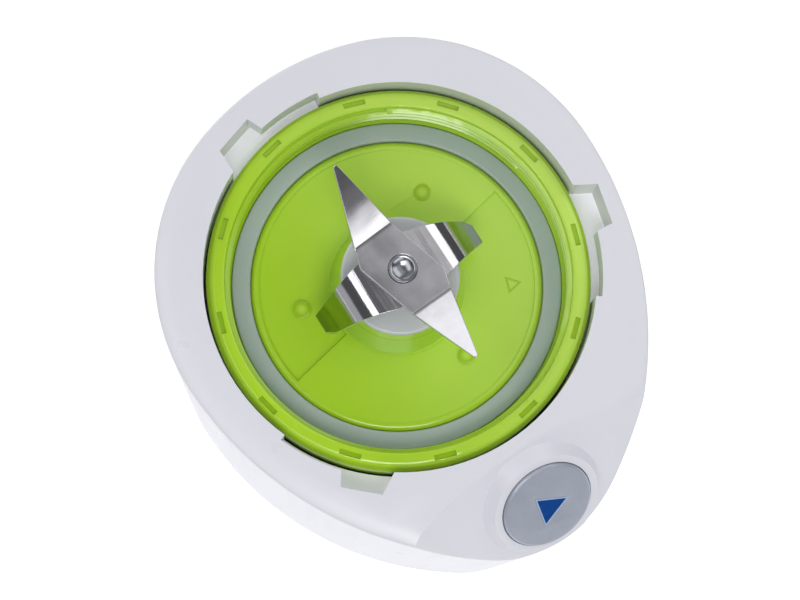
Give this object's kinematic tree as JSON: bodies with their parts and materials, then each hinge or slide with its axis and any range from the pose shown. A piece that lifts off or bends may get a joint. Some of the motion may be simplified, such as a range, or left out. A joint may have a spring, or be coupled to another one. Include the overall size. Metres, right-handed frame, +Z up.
{
  "type": "bottle blender base",
  "caption": "Small kitchen bottle-blender base: egg-shaped housing, round well with bayonet slots, inclined start button and a lift-out threaded blade holder.",
  "frame": {"origin": "on the drive axis, at the plane that the feet stand on", "axes": "+Z up along the drive axis, -Y towards the start button, +X to the right seen from the button"},
  "size_m": [0.1004, 0.1159, 0.1383],
  "materials": {
    "white_plastic": "satin",
    "grey_plastic": "matte",
    "foot_rubber": "matte",
    "black_rubber": "matte",
    "zinc_screws": "bright",
    "cast_aluminium": "cast",
    "lamination_steel": "laminated",
    "copper_wire": "enamelled",
    "bronze": "sintered",
    "carbon": "matte",
    "spring_steel": "bright",
    "circuit_board": "satin",
    "black_plastic": "matte",
    "silver_button": "satin silver paint",
    "blue_inlay": "gloss",
    "ground_steel": "ground",
    "green_plastic": "satin",
    "silicone": "translucent",
    "hub_plastic": "satin",
    "blade_steel": "brushed"
  },
  "bodies": {
    "base": {"housing_shell": "white_plastic", "base_plate": "grey_plastic", "rubber_feet": "foot_rubber", "base_screws": "zinc_screws", "upper_bracket": "cast_aluminium", "lower_bracket": "cast_aluminium", "motor_stator": "lamination_steel", "field_coils": "copper_wire", "motor_bolts": "zinc_screws", "mount_screws": "zinc_screws", "motor_mounts": "foot_rubber", "upper_bearing": "bronze", "lower_bearing": "bronze", "brush_holders": "bronze", "carbon_brushes": "carbon", "brush_springs": "spring_steel", "control_board": "circuit_board", "suppression_capacitor": "grey_plastic", "relay": "black_plastic", "terminal_block": "grey_plastic", "cord_gland": "black_rubber", "button_board": "circuit_board", "start_switch": "black_plastic", "board_screws": "zinc_screws", "interlock_cap": "black_plastic", "interlock_switch": "black_plastic"},
    "button": {"button_cap": "silver_button", "button_icon": "blue_inlay", "button_clip": "spring_steel", "switch_plunger": "black_plastic", "button_spring": "spring_steel"},
    "interlock": {"interlock_plunger": "black_plastic", "interlock_spring": "spring_steel"},
    "rotor": {"motor_shaft": "ground_steel", "armature_core": "lamination_steel", "armature_winding": "copper_wire", "commutator": "copper_wire", "cooling_fan": "black_plastic", "drive_coupler": "black_plastic", "coupler_nut": "zinc_screws"},
    "holder": {"blade_holder": "green_plastic", "jar_gasket": "silicone", "hub_cap": "hub_plastic", "bearing_bush": "bronze", "shaft_seal": "black_rubber"},
    "blades": {"upper_blade": "blade_steel", "lower_blade": "blade_steel", "blade_spindle": "ground_steel", "blade_spacer": "ground_steel", "thrust_washer": "ground_steel", "driven_coupler": "black_plastic"}
  },
  "joints": [
    {"name": "button_press", "type": "slide", "parent": "base", "child": "button", "axis": [0, 0.7071, -0.7071], "range_m": [0, 0.0012], "stiffness_N_per_m": 1200, "springref_m": -0.0008, "deforming": ["button_spring"]},
    {"name": "interlock_press", "type": "slide", "parent": "base", "child": "interlock", "axis": [0, 0, -1], "range_m": [0, 0.0015], "stiffness_N_per_m": 300, "springref_m": -0.001, "deforming": ["interlock_spring"]},
    {"name": "motor_spin", "type": "hinge", "parent": "base", "child": "rotor", "pos_m": [0, 0, 0.05], "axis": [0, 0, 1], "continuous": true},
    {"name": "holder_lift", "type": "slide", "parent": "base", "child": "holder", "axis": [0, 0, 1], "range_m": [0, 0.06]},
    {"name": "blade_spin", "type": "hinge", "parent": "holder", "child": "blades", "pos_m": [0, 0, 0.12], "axis": [0, 0, 1], "continuous": true}
  ],
  "couplings": [
    {"joint": "blade_spin", "follows": "motor_spin", "ratio": 1}
  ]
}
